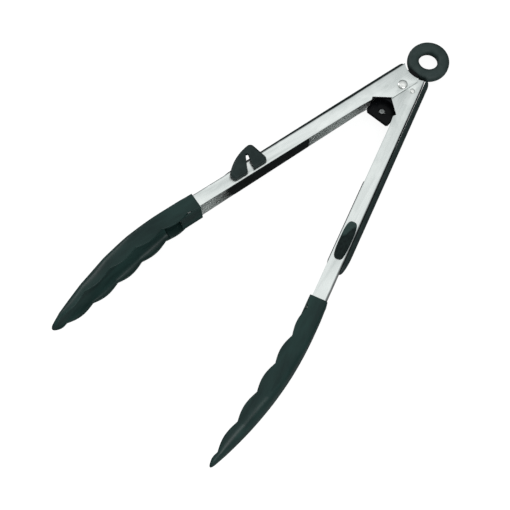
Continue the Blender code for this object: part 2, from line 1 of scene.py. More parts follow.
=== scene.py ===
# %% [markdown]
# # Spring loaded kitchen tongs
# Two folded steel arms turn on one rivet. Nylon heads hold the food, rubber covers the places where a hand
# pushes, and a torsion spring round the rivet opens the arms again. The mechanism is already built and
# packed as a frame of separate solids. This lesson gives every piece its finished surface.

# %% Load the frame
import json
from math import atan2, cos, degrees, hypot, pi, radians, sin

import bmesh
import bpy
from mathutils import Matrix, Vector


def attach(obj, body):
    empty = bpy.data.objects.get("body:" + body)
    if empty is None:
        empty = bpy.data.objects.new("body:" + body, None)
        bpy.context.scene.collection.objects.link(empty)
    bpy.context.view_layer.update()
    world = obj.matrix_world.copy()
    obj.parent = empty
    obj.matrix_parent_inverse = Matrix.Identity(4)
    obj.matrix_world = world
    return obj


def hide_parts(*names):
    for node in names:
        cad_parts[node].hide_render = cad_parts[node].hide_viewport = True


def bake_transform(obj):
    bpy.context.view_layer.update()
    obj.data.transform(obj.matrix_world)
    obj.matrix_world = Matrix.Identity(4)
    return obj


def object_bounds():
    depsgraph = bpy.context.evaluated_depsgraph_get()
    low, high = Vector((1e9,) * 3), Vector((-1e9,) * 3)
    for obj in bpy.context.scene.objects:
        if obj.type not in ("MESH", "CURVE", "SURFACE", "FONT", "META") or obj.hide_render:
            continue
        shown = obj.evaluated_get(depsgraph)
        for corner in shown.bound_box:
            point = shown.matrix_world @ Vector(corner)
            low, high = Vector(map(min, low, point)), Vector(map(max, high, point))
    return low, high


MM = 0.001
FIT = 0.3 * MM        # gap between pieces that touch
SHEET = 0.8 * MM      # thickness of the steel
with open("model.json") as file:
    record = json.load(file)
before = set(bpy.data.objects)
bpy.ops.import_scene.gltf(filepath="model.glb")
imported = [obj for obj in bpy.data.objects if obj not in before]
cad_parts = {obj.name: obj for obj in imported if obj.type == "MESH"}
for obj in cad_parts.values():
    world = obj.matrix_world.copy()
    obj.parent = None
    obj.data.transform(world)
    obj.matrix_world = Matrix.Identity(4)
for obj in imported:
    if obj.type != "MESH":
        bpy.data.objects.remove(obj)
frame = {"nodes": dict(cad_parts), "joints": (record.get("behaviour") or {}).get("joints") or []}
cad_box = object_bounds()

# %% [markdown]
# ## Where things are
# Every solid already lies where it belongs, so sizes and places come from the frame. The tongs lie on
# their side and lean a little, because the heads are wider than the pivot. It is easier to think along an
# arm than along the table, so three small coordinate frames are set up first: one for the pivot, with x
# towards the jaws and z along the rivet, and one for each arm, with x along it and z along the rivet.

# %% The frame of the pivot
joints = {joint["name"]: joint for joint in frame["joints"]}
PIVOT = Vector(joints["arm_hinge"]["pos_m"])
UP = Vector(joints["arm_hinge"]["axis"])
FORWARD = -Vector(joints["lock_slide"]["axis"])
ACROSS = UP.cross(FORWARD)
TURN = Matrix((FORWARD, ACROSS, UP)).transposed().to_4x4()
TONGS = Matrix.Translation(PIVOT) @ TURN
print("pivot at", [round(value / MM, 1) for value in PIVOT], "mm")


# %% The frames of the arms
def arm_frame(node, side):
    """Frame of an arm, measured on the flat back of its channel. side is +1 or -1 across the pivot."""
    outward = Vector()
    for face in frame["nodes"][node].data.polygons:
        if abs(face.normal @ UP) < 0.02 and face.normal @ ACROSS * side > 0.8:
            outward += face.normal * face.area
    across = outward.normalized() * side
    along = across.cross(UP)
    return Matrix.Translation(PIVOT) @ Matrix((along, across, UP)).transposed().to_4x4()


ARMS = {
    "lower": (1, arm_frame("lower_arm_channel", 1)),
    "upper": (-1, arm_frame("upper_arm_channel", -1)),
}


def span(node, matrix):
    """Lowest and highest corner of a CAD node, measured along the axes of a frame."""
    back = matrix.inverted()
    corners = [back @ vert.co for vert in frame["nodes"][node].data.vertices]
    low = Vector(min(corner[axis] for corner in corners) for axis in range(3))
    high = Vector(max(corner[axis] for corner in corners) for axis in range(3))
    return low, high


for arm, (side, matrix) in ARMS.items():
    low, high = span(f"{arm}_arm_channel", matrix)
    print(arm, "channel from", round(low.x / MM, 1), "to", round(high.x / MM, 1), "mm along the arm")

# %% [markdown]
# ## The camera
# A shape is judged against a reference view, so the camera comes before the surfaces. It looks down on the
# tongs from a little in front of the jaws, from about sixty centimetres, which gives the near head
# a slightly larger size than the far one.
# a slightly larger size than the far one.

# %% Camera
VIEW_TURN = radians(42.1)     # from the line towards the jaws
VIEW_HEIGHT = radians(72.06)
VIEW_ROLL = radians(-2.04)
VIEW_DISTANCE = 0.6138
FOCAL = 64.6
AIM = (140.0 * MM, -13.04 * MM, -15.04 * MM)   # along the tongs, then right and up in the picture


def camera_axes():
    back = Vector((cos(VIEW_HEIGHT) * cos(VIEW_TURN), cos(VIEW_HEIGHT) * sin(VIEW_TURN), sin(VIEW_HEIGHT)))
    level = Vector((0, 0, 1)).cross(back).normalized()
    upward = back.cross(level)
    right = level * cos(VIEW_ROLL) + upward * sin(VIEW_ROLL)
    return right, back.cross(right), back


right, upward, back = camera_axes()
aim = Vector((AIM[0], 0, 0)) + right * AIM[1] + upward * AIM[2]
camera_data = bpy.data.cameras.new("camera")
camera_data.lens = FOCAL
camera_data.clip_start = 0.01
camera = bpy.data.objects.new("camera", camera_data)
bpy.context.scene.collection.objects.link(camera)
place = Matrix((right, upward, back)).transposed().to_4x4()
place.translation = aim + back * VIEW_DISTANCE
camera.matrix_world = TONGS @ place
bpy.context.scene.camera = camera
print("camera", round(VIEW_DISTANCE / MM), "mm from its aim")

# %% [markdown]
# ## Arithmetic as nodes
# Several shapes here follow a rule: a scalloped head, a coil, a crowned strip. In Geometry Nodes a rule is
# a chain of Math nodes. Writing `a * b + c` is easier to read than twenty node calls, so a small class
# stands for a value in a node tree and adds the matching node each time it is used in a sum.


# %% A value in a node tree
class Field:
    def __init__(self, tree, socket):
        self.tree = tree
        self.socket = socket

    def math(self, operation, *others):
        node = self.tree.nodes.new("ShaderNodeMath")
        node.operation = operation
        for slot, value in zip(node.inputs, (self, *others)):
            if isinstance(value, Field):
                self.tree.links.new(value.socket, slot)
            else:
                slot.default_value = value
        return Field(self.tree, node.outputs[0])

    def __add__(self, other):
        return self.math("ADD", other)

    def __radd__(self, other):
        return self.math("ADD", other)

    def __sub__(self, other):
        return self.math("SUBTRACT", other)

    def __rsub__(self, other):
        return (self * -1.0) + other

    def __mul__(self, other):
        return self.math("MULTIPLY", other)

    def __rmul__(self, other):
        return self.math("MULTIPLY", other)

    def __truediv__(self, other):
        return self.math("DIVIDE", other)

    def __rtruediv__(self, other):
        return self.math("POWER", -1.0) * other

    def sin(self):
        return self.math("SINE")

    def cos(self):
        return self.math("COSINE")

    def abs(self):
        return self.math("ABSOLUTE")

    def sign(self):
        return self.math("SIGN")

    def clamp(self):
        return self.math("MAXIMUM", 0.0).math("MINIMUM", 1.0)

    def root(self):
        return self.math("MAXIMUM", 0.0).math("SQRT")

    def power(self, exponent):
        return self.math("MAXIMUM", 0.0).math("POWER", exponent)

    def smooth(self):
        """0 to 1 with a soft start and end."""
        part = self.clamp()
        return part * part * (3.0 - 2.0 * part)

    def above(self, limit):
        return self.math("GREATER_THAN", limit)

    def choose(self, low, high):
        """low where this value is 0, high where it is 1."""
        return low + self * (high - low)


# %% [markdown]
# ## A tube that follows a rule
# One tree shape serves the heads, the strips and the ring. It starts from a Mesh Cylinder, which is
# closed and capped. Its height becomes the way along the piece, from 0 to 1, and its angle the way round,
# from 0 to 1. A rule written in Python turns these two numbers into a place, and Set Position moves
# every point there. The tree ends in Realize Instances and Set Material, and the result is made a plain
# mesh.


# %% First and last nodes of a tree
def open_tree(name, sizes):
    """New tree with a material and named sizes as inputs. Gives the tree, its input node and the sizes."""
    tree = bpy.data.node_groups.new(name, "GeometryNodeTree")
    tree.interface.new_socket("Geometry", in_out="OUTPUT", socket_type="NodeSocketGeometry")
    tree.interface.new_socket("Material", in_out="INPUT", socket_type="NodeSocketMaterial")
    for label in sizes:
        tree.interface.new_socket(label, in_out="INPUT", socket_type="NodeSocketFloat")
    source = tree.nodes.new("NodeGroupInput")
    return tree, source, {label: Field(tree, source.outputs[label]) for label in sizes}


def close_tree(tree, source, shape):
    """Realize the shape, give it the material, and send it out of the tree."""
    new, link = tree.nodes.new, tree.links.new
    real, painted = new("GeometryNodeRealizeInstances"), new("GeometryNodeSetMaterial")
    link(shape, real.inputs[0])
    link(real.outputs[0], painted.inputs["Geometry"])
    link(source.outputs["Material"], painted.inputs["Material"])
    link(painted.outputs[0], new("NodeGroupOutput").inputs[0])


def put(tree, shape, place):
    """Move every point of a shape to a place given as three values."""
    point, moved = tree.nodes.new("ShaderNodeCombineXYZ"), tree.nodes.new("GeometryNodeSetPosition")
    for slot, value in zip(point.inputs, place):
        tree.links.new(value.socket, slot)
    tree.links.new(shape, moved.inputs["Geometry"])
    tree.links.new(point.outputs[0], moved.inputs["Position"])
    return moved.outputs[0]


# %% Tree, modifier and mesh
def tube_tree(name, sizes, along, around, rule, caps=True):
    tree, source, values = open_tree(name, sizes)
    new, link = tree.nodes.new, tree.links.new
    cylinder = new("GeometryNodeMeshCylinder")
    cylinder.fill_type = "NGON" if caps else "NONE"
    cylinder.inputs["Vertices"].default_value = around
    cylinder.inputs["Side Segments"].default_value = along
    cylinder.inputs["Radius"].default_value = 1.0
    cylinder.inputs["Depth"].default_value = 1.0
    spot = new("ShaderNodeSeparateXYZ")
    link(new("GeometryNodeInputPosition").outputs[0], spot.inputs[0])
    x, y, z = (Field(tree, output) for output in spot.outputs)
    share_along = (z + 0.5).clamp()
    share_around = (y.math("ARCTAN2", x) / (2 * pi)).math("WRAP", 1.0, 0.0)
    close_tree(tree, source, put(tree, cylinder.outputs["Mesh"], rule(share_along, share_around, values)))
    return tree


def link_object(name, mesh):
    piece = bpy.data.objects.new(name, mesh)
    bpy.context.scene.collection.objects.link(piece)
    return piece


def mesh_from(name, shape):
    """Turn a bmesh into a mesh and free it."""
    mesh = bpy.data.meshes.new(name)
    shape.to_mesh(mesh)
    shape.free()
    return mesh


def grow(name, tree, material, sizes, matrix):
    """Run a tree with its sizes, and keep the result as a plain mesh in place."""
    seed = link_object(name + "_seed", bpy.data.meshes.new(name + "_seed"))
    modifier = seed.modifiers.new("tree", "NODES")
    modifier.node_group = tree
    inputs = {item.name: item.identifier for item in tree.interface.items_tree if item.in_out == "INPUT"}
    modifier[inputs["Material"]] = material
    for label, value in sizes.items():
        modifier[inputs[label]] = value
    depsgraph = bpy.context.evaluated_depsgraph_get()
    mesh = bpy.data.meshes.new_from_object(seed.evaluated_get(depsgraph))
    seed.modifiers.clear()
    bpy.data.objects.remove(seed, do_unlink=True)
    mesh.name = name
    return settled(name, mesh, material, matrix)


DOUBLE = 0.002 * MM       # points closer than this are one point


def settled(name, mesh, material, matrix=Matrix()):
    """Put a mesh in place, merge its doubles, turn its faces out and shade it smooth."""
    shape = bmesh.new()
    shape.from_mesh(mesh)
    bmesh.ops.remove_doubles(shape, verts=shape.verts, dist=DOUBLE)
    bmesh.ops.transform(shape, matrix=matrix, verts=shape.verts)
    bmesh.ops.recalc_face_normals(shape, faces=shape.faces)
    shape.to_mesh(mesh)
    shape.free()
    mesh.materials.clear()
    mesh.materials.append(material)
    mesh.shade_smooth()
    mesh.set_sharp_from_angle(angle=radians(40))
    print(f"{name}: {len(mesh.polygons)} faces")
    return link_object(name, mesh)


def hand_over(piece, body, slot, *nodes):
    """Let a finished piece ride on its body, in place of its CAD nodes."""
    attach(piece, body)
    if nodes:
        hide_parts(*nodes)


# %% [markdown]
# ## Materials
# Four families are needed: brushed sheet steel, turned steel, satin nylon and matt rubber. All of them are
# node trees on Object coordinates, so nothing has to be unwrapped. A Mapping node of type Texture turns
# those coordinates into the frame of an arm, so that the brush marks run along the sheet.


# %% Helpers for shader trees
class Shader:
    """A material being built: coordinates, noises, mixes and the final sockets."""

    def __init__(self, name, matrix=Matrix()):
        self.material = bpy.data.materials.new(name)
        self.material.use_nodes = True
        self.tree = self.material.node_tree
        self.surface = self.tree.nodes["Principled BSDF"]
        coordinates = self.tree.nodes.new("ShaderNodeTexCoord")
        mapping = self.tree.nodes.new("ShaderNodeMapping")
        mapping.vector_type = "TEXTURE"
        mapping.inputs["Location"].default_value = matrix.to_translation()
        mapping.inputs["Rotation"].default_value = matrix.to_euler()
        self.tree.links.new(coordinates.outputs["Object"], mapping.inputs["Vector"])
        self.place = mapping.outputs[0]
        self.height = None

    def stretched(self, scale):
        node = self.tree.nodes.new("ShaderNodeVectorMath")
        node.operation = "MULTIPLY"
        self.tree.links.new(self.place, node.inputs[0])
        node.inputs[1].default_value = scale
        return node.outputs[0]

    def noise(self, scale, detail=3.0, rough=0.5):
        """Noise with so many features per metre along x, y and z."""
        node = self.tree.nodes.new("ShaderNodeTexNoise")
        node.inputs["Scale"].default_value = 1.0
        node.inputs["Detail"].default_value = detail
        node.inputs["Roughness"].default_value = rough
        scale = scale if isinstance(scale, tuple) else (scale, scale, scale)
        self.tree.links.new(self.stretched(scale), node.inputs["Vector"])
        return Field(self.tree, node.outputs["Fac"])

    def axes(self):
        node = self.tree.nodes.new("ShaderNodeSeparateXYZ")
        self.tree.links.new(self.place, node.inputs[0])
        return [Field(self.tree, output) for output in node.outputs]

    def ramp(self, value, low, high):
        """Stretch a narrow band of a noise to the whole range from 0 to 1."""
        return ((value - low) / (high - low)).clamp()

    def color(self, factor, dark, light):
        node = self.tree.nodes.new("ShaderNodeMix")
        node.data_type = "RGBA"
        self.tree.links.new(factor.socket, node.inputs["Factor"])
        node.inputs["A"].default_value = (*dark, 1.0)
        node.inputs["B"].default_value = (*light, 1.0)
        self.tree.links.new(node.outputs["Result"], self.surface.inputs["Base Color"])

    def roughness(self, value):
        self.tree.links.new(value.socket, self.surface.inputs["Roughness"])

    def bump(self, value, depth, strength=1.0):
        """Add relief, in metres, on top of the relief that is already there."""
        node = self.tree.nodes.new("ShaderNodeBump")
        node.inputs["Distance"].default_value = depth
        node.inputs["Strength"].default_value = strength
        self.tree.links.new(value.socket, node.inputs["Height"])
        if self.height is not None:
            self.tree.links.new(self.height, node.inputs["Normal"])
        self.height = node.outputs[0]
        self.tree.links.new(self.height, self.surface.inputs["Normal"])

    def fixed(self, **sockets):
        for label, value in sockets.items():
            self.surface.inputs[label.replace("_", " ")].default_value = value


# %% [markdown]
# ### Brushed sheet
# The channels are folded from sheet that was brushed along its length before it was cut. Three scales are
# visible: fine grain, wider streaks that vary the gloss, and slow waves where the sheet is not quite flat.
# Handling leaves cloudy smears, and the ears of the arms rub faint circles round the rivet. Along the open
# side of each channel, a thin band at the cut edge of the sheet is painted darker than its face, as painted
# shade.


# %% Brushed steel
SHEET_EDGE = 3.4 * MM     # cut edge of the sheet, from the pivot line
RUB_REACH = 15 * MM       # how far the rubbed circles reach round the rivet


def brushed_steel(name, matrix, side):
    steel = Shader(name, matrix)
    grain = steel.noise((70.0, 4200.0, 4200.0), 3.0)
    streaks = steel.noise((14.0, 700.0, 700.0), 4.0)
    smears = steel.ramp(steel.noise((48.0, 95.0, 95.0), 3.0, 0.6), 0.5, 0.64)
    x, y, z = steel.axes()
    radius = (x * x + y * y).root()
    circles = steel.ramp((radius * 5200.0).sin() * steel.noise(260.0, 2.0), 0.12, 0.6)
    rubbed = circles * steel.ramp(radius, RUB_REACH, RUB_REACH * 0.6)
    grip = steel.ramp(x, 2 * RUB_REACH, 2 * RUB_REACH + 2 * MM)
    # painted shade: a thin band along the cut edge of the sheet is darkened, for the dark line that edge
    # shows
    painted_edge_shade = steel.ramp(y * float(side), SHEET_EDGE + 0.6 * MM, SHEET_EDGE + 0.2 * MM) * grip
    tone = (streaks * 0.7 + smears * 0.5).clamp() - painted_edge_shade * 2.2
    steel.color(tone, (0.64, 0.665, 0.66), (0.88, 0.90, 0.89))
    steel.roughness(streaks * 0.1 + smears * 0.1 + rubbed * 0.1 + 0.21)
    steel.fixed(Metallic=1.0)
    steel.bump(steel.noise((16.0, 34.0, 34.0), 1.0), 0.05 * MM)
    steel.bump(grain, 0.0005 * MM)
    steel.bump(rubbed, 0.004 * MM)
    return steel.material


STEEL = {arm: brushed_steel(f"brushed_sheet_{arm}", matrix, side) for arm, (side, matrix) in ARMS.items()}
print("sheet materials:", ", ".join(material.name for material in STEEL.values()))

# %% [markdown]
# ### Turned steel and spring wire
# Rivets and pins are turned and tumbled. They are smoother than the sheet, with fine rings from the
# lathe and a few scratches. Spring wire is drawn, and a little darker.


# %% Turned steel
def turned_steel(name, matrix, dark, light, gloss):
    steel = Shader(name, matrix)
    x, y, z = steel.axes()
    rings = ((x * x + y * y).root() * 21000.0).sin() * 0.5 + 0.5
    cloud = steel.noise(420.0, 3.0)
    scratches = steel.ramp(steel.noise((300.0, 5200.0, 2600.0), 2.0), 0.62, 0.7)
    steel.color(cloud, dark, light)
    steel.roughness(cloud * 0.14 + scratches * 0.2 + gloss)
    steel.fixed(Metallic=1.0)
    steel.bump(rings, 0.002 * MM)
    steel.bump(scratches, 0.004 * MM)
    return steel.material


RIVET_STEEL = turned_steel("turned_rivet_steel", TONGS, (0.66, 0.66, 0.65), (0.88, 0.88, 0.86), 0.1)
# painted shade: this steel is painted much darker than the rivet's, for the pin and bush deep between the
# sheets
SHADED_PIN_STEEL = turned_steel("turned_pin_steel_painted_shade", TONGS, (0.16, 0.17, 0.17), (0.3, 0.31, 0.31), 0.3)
WIRE_STEEL = turned_steel("drawn_spring_wire", TONGS, (0.34, 0.34, 0.33), (0.56, 0.56, 0.54), 0.2)

# %% [markdown]
# ### Nylon and rubber
# Glass filled nylon comes out of the mould with a satin skin: faint flow marks along the head, a fine
# orange peel, and small pale scuffs where the rim meets pans. Rubber is duller. Its skin has a fine
# spark grain from the mould and holds a little dust. A finger pad has two tones, which meet on the same
# S shaped line as its two lobes: the front one is painted dark as painted shade and is glossier, and the
# rear one is painted grey as painted light.


# %% Satin nylon
def satin_nylon(name, matrix, dark, light, gloss=0.36, shine=0.2):
    nylon = Shader(name, matrix)
    flow = nylon.noise((26.0, 120.0, 120.0), 3.0, 0.6)
    peel = nylon.noise(1300.0, 2.0)
    grain = nylon.noise(5200.0, 2.0)
    scuffs = nylon.ramp(nylon.noise((700.0, 1500.0, 1500.0), 3.0), 0.69, 0.76)
    tone = (nylon.ramp(flow, 0.3, 0.7) * 0.8 + scuffs * 0.6).clamp()
    nylon.color(tone, dark, light)
    nylon.roughness(flow * 0.14 + scuffs * 0.15 + gloss)
    nylon.fixed(Specular_IOR_Level=shine)
    nylon.bump(peel, 0.02 * MM)
    nylon.bump(grain, 0.006 * MM)
    return nylon.material


# %% Matt rubber
def matt_rubber(name, matrix, dark, light, shine=0.18):
    rubber = Shader(name, matrix)
    mottle = rubber.noise(150.0, 4.0, 0.6)
    grain = rubber.noise(4200.0, 3.0, 0.6)
    dust = rubber.ramp(rubber.noise(2600.0, 2.0), 0.7, 0.78)
    tone = (rubber.ramp(mottle, 0.3, 0.7) * 0.8 + dust * 0.45).clamp()
    rubber.color(tone, dark, light)
    rubber.roughness(mottle * 0.16 + grain * 0.08 + 0.44)
    rubber.fixed(Specular_IOR_Level=shine)
    rubber.bump(mottle, 0.03 * MM)
    rubber.bump(grain, 0.012 * MM)
    return rubber.material


# %% Rubber of the finger pads
PAD_AT, PAD_V = 123.0 * MM, 8.5 * MM    # middle of the finger pads, along and across an arm
PAD_LONG, PAD_TALL = 14.1 * MM, 4.1 * MM


def pad_rubber(name, matrix, side):
    rubber = Shader(name, matrix)
    x, y, z = rubber.axes()
    along, tall = (x - PAD_AT) / PAD_LONG, (y * float(side) - PAD_V) / PAD_TALL
    s_line = (along + 0.45) * 1.3 + tall * 0.5 + (tall * 4.0).sin() * 0.12
    lobe = rubber.ramp(s_line, -0.12, 0.12)
    mottle = rubber.noise((500.0, 900.0, 900.0), 3.0, 0.6)
    grain = rubber.noise(4200.0, 3.0, 0.6)
    # painted shade and painted light: the front lobe of the S shaped step is painted dark, the rear lobe
    # lighter grey
    tone = ((1.0 - lobe) * 0.7 + mottle * 0.5 - 0.15).clamp()
    rubber.color(tone, (0.002, 0.005, 0.005), (0.036, 0.062, 0.058))
    rubber.roughness((1.0 - lobe) * 0.2 + mottle * 0.12 + 0.26)
    rubber.fixed(Specular_IOR_Level=0.1)
    rubber.bump(mottle, 0.03 * MM)
    rubber.bump(grain, 0.01 * MM)
    return rubber.material


# %% Mix the moulded materials
NYLON, RUBBER, SHADED_CORE_RUBBER, PAD_RUBBER = {}, {}, {}, {}
for arm, (side, matrix) in ARMS.items():
    NYLON[arm] = satin_nylon(f"satin_nylon_{arm}", matrix, (0.004, 0.015, 0.014), (0.014, 0.040, 0.036))
    RUBBER[arm] = matt_rubber(f"matt_rubber_{arm}", matrix, (0.007, 0.014, 0.014), (0.020, 0.032, 0.031))
    PAD_RUBBER[arm] = pad_rubber(f"pad_rubber_{arm}", matrix, side)
    # black rubber, painted darker still than the other rubber as painted shade for the inside of the channel
    SHADED_CORE_RUBBER[arm] = matt_rubber(f"shaded_core_rubber_{arm}", matrix, (0.002, 0.003, 0.003),
                                   (0.006, 0.008, 0.008), 0.08)
# black nylon, painted darker still as painted shade, since the slider lies deep between the sheets
SHADED_LOCK_NYLON = satin_nylon("black_nylon_lock_painted_shade", TONGS, (0.002, 0.002, 0.003), (0.005, 0.006, 0.007), 0.3, 0.1)
RING_RUBBER = matt_rubber("matt_rubber_ring", TONGS, (0.016, 0.028, 0.027), (0.034, 0.050, 0.048))
print("moulded materials:", len(NYLON) + len(RUBBER) + len(PAD_RUBBER) + len(SHADED_CORE_RUBBER) + 2)

# %% [markdown]
# ## Channels
# The arms are one sheet, folded twice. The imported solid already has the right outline, windows and folds,
# but its edges are knife sharp. Real sheared sheet is tumbled, so its edges catch a thin line of light.
# A copy of the solid is merged, its flat faces are joined again, and a narrow bevel rounds the edges.


# %% Modifiers made final
def apply_modifiers(piece):
    depsgraph = bpy.context.evaluated_depsgraph_get()
    mesh = bpy.data.meshes.new_from_object(piece.evaluated_get(depsgraph))
    piece.modifiers.clear()
    piece.data = mesh
    return piece


def combine(piece, other, operation):
    modifier = piece.modifiers.new(operation.lower(), "BOOLEAN")
    modifier.operation = operation
    modifier.solver = "EXACT"
    modifier.object = other
    apply_modifiers(piece)
    bpy.data.objects.remove(other, do_unlink=True)
    return piece


# %% Copy of a solid with rounded edges
def eased(name, node, material, width):
    """A copy of a CAD solid: its flat faces are joined and its sharp edges rounded by a narrow bevel."""
    shape = bmesh.new()
    shape.from_mesh(frame["nodes"][node].data)
    bmesh.ops.remove_doubles(shape, verts=shape.verts, dist=DOUBLE)
    bmesh.ops.dissolve_limit(shape, angle_limit=radians(0.6), verts=shape.verts, edges=shape.edges)
    mesh = mesh_from(name, shape)
    mesh.materials.append(material)
    piece = link_object(name, mesh)
    bevel = piece.modifiers.new("eased edges", "BEVEL")
    bevel.width = width
    bevel.segments = 3
    bevel.limit_method = "ANGLE"
    bevel.angle_limit = radians(34)
    apply_modifiers(piece)
    piece.data.shade_smooth()
    piece.data.set_sharp_from_angle(angle=radians(36))
    print(f"{name}: {len(piece.data.polygons)} faces")
    return piece


for arm in ARMS:
    sheet = eased(f"{arm}_folded_channel", f"{arm}_arm_channel", STEEL[arm], 0.28 * MM)
    hand_over(sheet, f"{arm}_arm", "brushed_steel", f"{arm}_arm_channel")

# %% [markdown]
# ## Heads
# Each head is a scoop: its back curves in towards the other arm, its rim flares from the collar into a leaf
# and runs in scallops that meet in sharp nicks. That is a rule, so Geometry Nodes can make it. Going along
# the tube sets the station. Going round it walks over the back, round one lip, across the hollow
# face, and round the other lip. The walls follow a squared ellipse, which is boxy at the collar, where it
# has to clear the folded sheet, and softer towards the tip. A thin web closes the mouth of the socket, so
# that no steel shows in the hollow.

# %% Sizes of the heads
head_low, head_high = span("lower_head", ARMS["lower"][1])
channel_high = span("lower_arm_channel", ARMS["lower"][1])[1]
COLLAR = head_low.x
TIP = head_high.x
HEAD_HALF = head_high.z
CREST = head_high.y
SHEET_BACK = channel_high.y
SHEET_HALF = channel_high.z
WALL = 0.95 * MM
HEAD = {
    "Collar": COLLAR,
    "Tip": TIP,
    "Widest": COLLAR + 68 * MM,
    "Rim half": HEAD_HALF,
    "Collar half": SHEET_HALF + FIT + WALL,
    "Crest": CREST,
    "Rim start": 3.9 * MM,
    "Rim curl": 15.3 * MM,
    "Scallop": 21.3 * MM,
    "First nick": COLLAR + 8.7 * MM,
    "Scallop depth": 2.0 * MM,
    "Face depth": 4.6 * MM,
    "Face start": COLLAR + 27 * MM,
    "Lip": 1.7 * MM,
    "Socket half": SHEET_HALF + FIT,
    "Socket back": SHEET_BACK + FIT,
}
print("head", round((TIP - COLLAR) / MM), "mm long and", round(2 * HEAD_HALF / MM), "mm wide")


# %% Rule of the heads
def squared(angle, half, depth, power):
    """Place on a squared half ellipse: across, and up from its foot."""
    across = angle.sin().sign() * angle.sin().abs().power(2.0 / power) * half
    rise = angle.cos().abs().power(2.0 / power) * depth
    return across, rise


LEVEL = 15 * MM           # length of back over the sheet, before it curves in
BLUNT = 2.2 * MM          # length of the round end of the tip
FADE = 8 * MM             # the scallops and the socket's lip fade within this length
BOXY = 90 * MM            # length over which the walls lose their squareness
BACK_SHARE, LIP_SHARE = 0.42, 0.08     # shares of the way round: the back or the face, and one lip


def head_rule(along, around, size):
    closer = 1.0 - (1.0 - along).power(1.5)
    station = size["Collar"] + closer * (size["Tip"] - size["Collar"])
    from_collar = station - size["Collar"]
    to_tip = size["Tip"] - station
    # the back: level over the sheet, then curving in
    curl = ((from_collar - LEVEL) / (size["Tip"] - size["Collar"] - LEVEL)).power(2.15)
    tip_back = size["Rim start"] - size["Rim curl"] + 1.9 * MM
    ease = 1.0 - (from_collar / (12 * MM)).smooth()
    crest = size["Crest"] - ease * (0.3 * MM) - curl * (size["Crest"] - tip_back)
    # the rim: a line through the nicks, and scallops between them
    reach = size["Tip"] - size["First nick"]
    nicks = size["Rim start"] - ((station - size["First nick"]) / reach).power(1.5) * size["Rim curl"]
    wave = (((station - size["First nick"]) / size["Scallop"]) * pi).sin().abs()
    fade = (from_collar / (FADE * 1.25)).smooth() * (to_tip / FADE).smooth()
    collar_lip = (1.0 - (from_collar / FADE).smooth()) * (1.3 * MM)
    rim = nicks - fade * wave * size["Scallop depth"] - collar_lip
    # the half width: a flare, then a rounded tip
    flare = ((from_collar - 3 * MM) / (size["Widest"] - size["Collar"])).smooth()
    leaf = size["Collar half"] + flare * (size["Rim half"] - size["Collar half"])
    part = (station - size["Widest"]) / (size["Tip"] - size["Widest"])
    rounded = size["Rim half"] * (1.0 - part * part).root()
    half = station.above(size["Widest"]).choose(leaf, rounded)
    # the very tip: back and rim meet in a round end
    left = 1.0 - (to_tip / BLUNT).clamp()
    blunt = (1.0 - left * left).root()
    middle = (crest + rim) * 0.5
    crest = middle + (crest - middle) * blunt
    rim = middle + (rim - middle) * blunt
    socket = 1.0 - station.above(size["Face start"])
    lip = socket.choose((half * 0.3).math("MINIMUM", size["Lip"]), half - size["Socket half"])
    lip_deep = (lip * 0.5).math("MINIMUM", 0.6 * MM) * blunt
    foot = rim + lip_deep
    # going round: back, lip, face, lip
    back_angle = (around / BACK_SHARE).clamp() * pi - pi / 2
    boxy = 1.0 - ((from_collar - 10 * MM) / BOXY).clamp()
    power = 2.6 + 8.7 * boxy * boxy
    back_z, back_rise = squared(back_angle, half, crest - foot, power)
    near = ((around - BACK_SHARE) / LIP_SHARE).clamp() * pi
    near_z = half - lip * 0.5 + lip * 0.5 * near.cos()
    near_v = foot - lip_deep * near.sin()
    face_angle = pi / 2 - ((around - BACK_SHARE - LIP_SHARE) / BACK_SHARE).clamp() * pi
    floor = nicks + size["Face depth"] * (to_tip / (70 * MM)).smooth() + 0.3 * MM
    face_deep = (floor - foot).math("MINIMUM", (crest - foot) * 0.6).math("MAXIMUM", 0.0)
    face_half = socket.choose(half - lip, size["Socket half"])
    depth = socket.choose(face_deep, size["Socket back"] - foot)
    face_power = socket.choose(along * 0.0 + 2.4, along * 0.0 + 26.0)
    face_z, face_rise = squared(face_angle, face_half, depth, face_power)
    far = ((around - 2 * BACK_SHARE - LIP_SHARE) / LIP_SHARE).clamp() * pi
    far_z = lip * 0.5 * (1.0 + far.cos()) - half
    far_v = foot - lip_deep * far.sin()
    z = around.above(BACK_SHARE).choose(back_z, near_z)
    v = around.above(BACK_SHARE).choose(foot + back_rise, near_v)
    z = around.above(BACK_SHARE + LIP_SHARE).choose(z, face_z)
    v = around.above(BACK_SHARE + LIP_SHARE).choose(v, foot + face_rise)
    z = around.above(2 * BACK_SHARE + LIP_SHARE).choose(z, far_z)
    v = around.above(2 * BACK_SHARE + LIP_SHARE).choose(v, far_v)
    return station, v * size["Side"], z


# %% Web in the mouth of a socket
WEB_LONG = 16 * MM


def socket_web(side, matrix):
    web = bmesh.new()
    bmesh.ops.create_cube(web, size=1.0)
    wide = 2 * HEAD["Collar half"] - WALL
    middle = (COLLAR + WEB_LONG / 2, side * (SHEET_EDGE - FIT - WALL / 2), 0)
    place = matrix @ Matrix.Translation(middle) @ Matrix.Diagonal((WEB_LONG, WALL, wide, 1))
    bmesh.ops.transform(web, verts=web.verts, matrix=place)
    return link_object("web", mesh_from("web", web))


# %% Grow the heads
head_tree = tube_tree("scalloped_head", [*HEAD, "Side"], 300, 100, head_rule)
for arm, (side, matrix) in ARMS.items():
    scoop = grow(f"{arm}_scalloped_head", head_tree, NYLON[arm], {**HEAD, "Side": float(side)}, matrix)
    combine(scoop, socket_web(side, matrix), "UNION")
    scoop.data.set_sharp_from_angle(angle=radians(40))
    hand_over(scoop, f"{arm}_arm", "nylon", f"{arm}_head")

